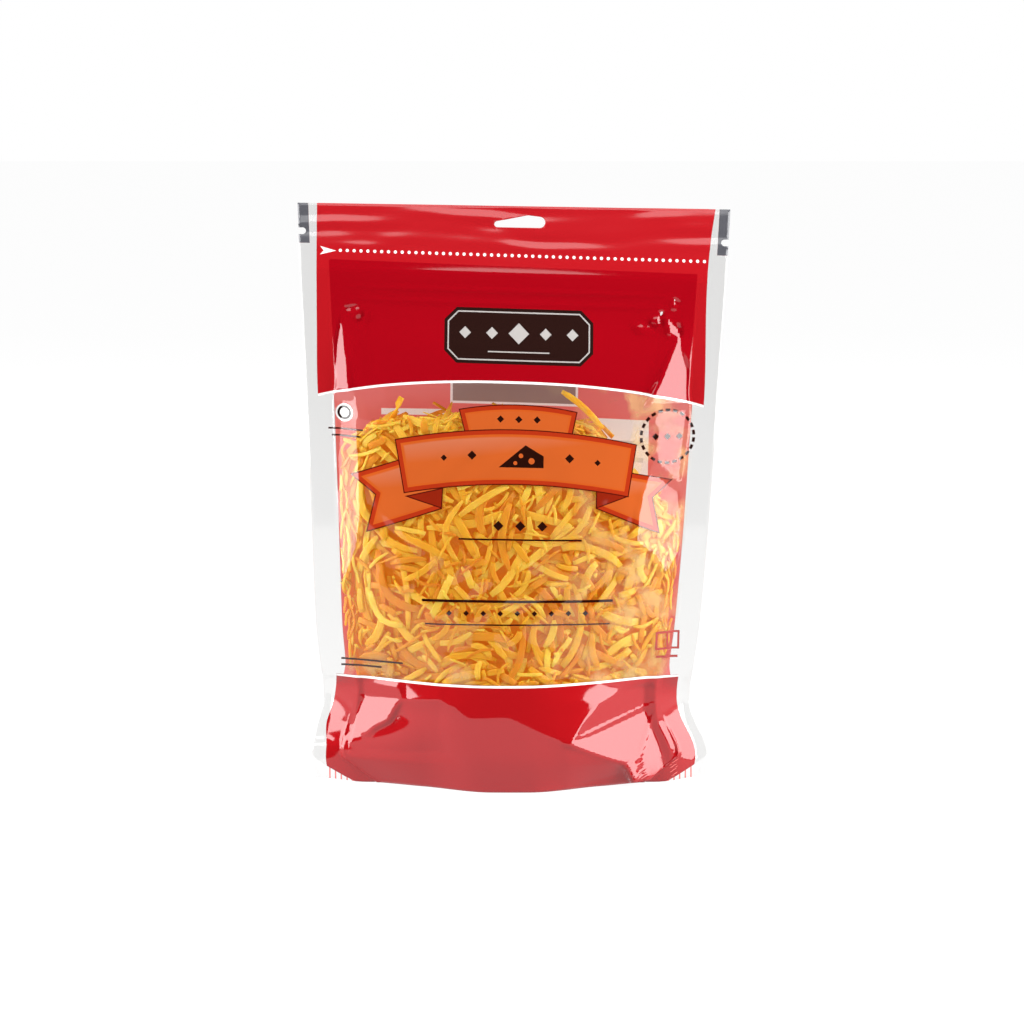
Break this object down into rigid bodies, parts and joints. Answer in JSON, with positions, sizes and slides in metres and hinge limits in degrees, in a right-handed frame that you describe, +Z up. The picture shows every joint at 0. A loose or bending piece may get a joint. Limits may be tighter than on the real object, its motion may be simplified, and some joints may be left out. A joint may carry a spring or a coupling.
{
  "type": "bag of shredded cheddar",
  "caption": "Filled stand-up film pouch of shredded cheese: bulging clear and printed panels, sealed sides, header with hang slot and tear notches, zip ridges, bottom gusset.",
  "frame": {"origin": "centre of the outer box at the floor that the pouch stands on, under the middle of the bag", "axes": "+Z up, the printed front looks along -Y, +X to the right of the front"},
  "size_m": [0.178, 0.051, 0.2414],
  "materials": {
    "printed_film": "glossy red print on thin film",
    "clear_film": "clear glossy film",
    "cheese": "soft, slightly oily cheddar shreds",
    "orange_print": "glossy orange print",
    "dark_print": "glossy near-black print",
    "white_print": "glossy white print",
    "grey_mark": "grey print mark",
    "zip_strip": "milky polyethylene"
  },
  "bodies": {
    "root": {"pouch": "printed_film"}
  },
  "joints": []
}
